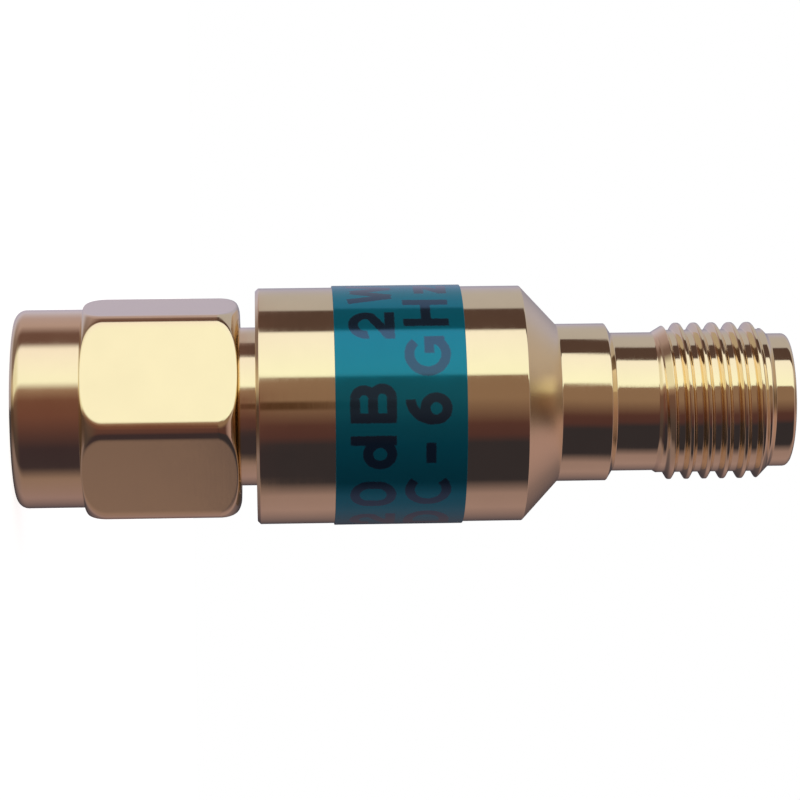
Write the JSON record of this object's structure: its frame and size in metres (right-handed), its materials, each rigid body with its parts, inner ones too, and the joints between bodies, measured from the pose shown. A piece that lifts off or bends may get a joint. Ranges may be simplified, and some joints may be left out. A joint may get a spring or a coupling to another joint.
{
  "type": "rf attenuator",
  "caption": "Fixed coaxial attenuator for a radio line: a plug with a captive hexagonal coupling nut, a round shell with a printed band, and a threaded jack.",
  "frame": {"origin": "on the axis, in the plane of the coupling nut's rim, which it stands on", "axes": "+Z along the axis from the plug to the jack; -Y faces the picture's camera and -X is the picture's upper side"},
  "size_m": [0.0094, 0.0094, 0.0303],
  "materials": {
    "nut_plating": "pale gold plate on polished brass",
    "shell_plating": "pale gold plate on fine-turned brass",
    "plug_plating": "pale gold plate on brass",
    "contact_gold": "hard gold plate on a copper alloy",
    "carrier_brass": "turned brass",
    "spring_bronze": "bare spring bronze",
    "gasket_rubber": "moulded silicone rubber",
    "insulator": "machined PTFE, white",
    "label_film": "glossy printed film, teal",
    "chip_ceramic": "fired alumina with printed film",
    "shim_silver": "soft silvered foil"
  },
  "bodies": {
    "attenuator": {"main_shell": "shell_plating", "label_band": "label_film", "plug_shell": "plug_plating", "snap_ring": "spring_bronze", "gasket": "gasket_rubber", "plug_front_insulator": "insulator", "plug_rear_insulator": "insulator", "plug_pin": "contact_gold", "jack_front_insulator": "insulator", "jack_rear_insulator": "insulator", "jack_socket": "contact_gold", "carrier_lower": "carrier_brass", "carrier_upper": "carrier_brass", "attenuator_chip": "chip_ceramic", "earth_shim_left": "shim_silver", "earth_shim_right": "shim_silver"},
    "nut": {"coupling_nut": "nut_plating"}
  },
  "joints": [
    {"name": "nut_spin", "type": "hinge", "parent": "attenuator", "child": "nut", "pos_m": [0, 0, 0.007], "axis": [0, 0, 1], "continuous": true}
  ]
}
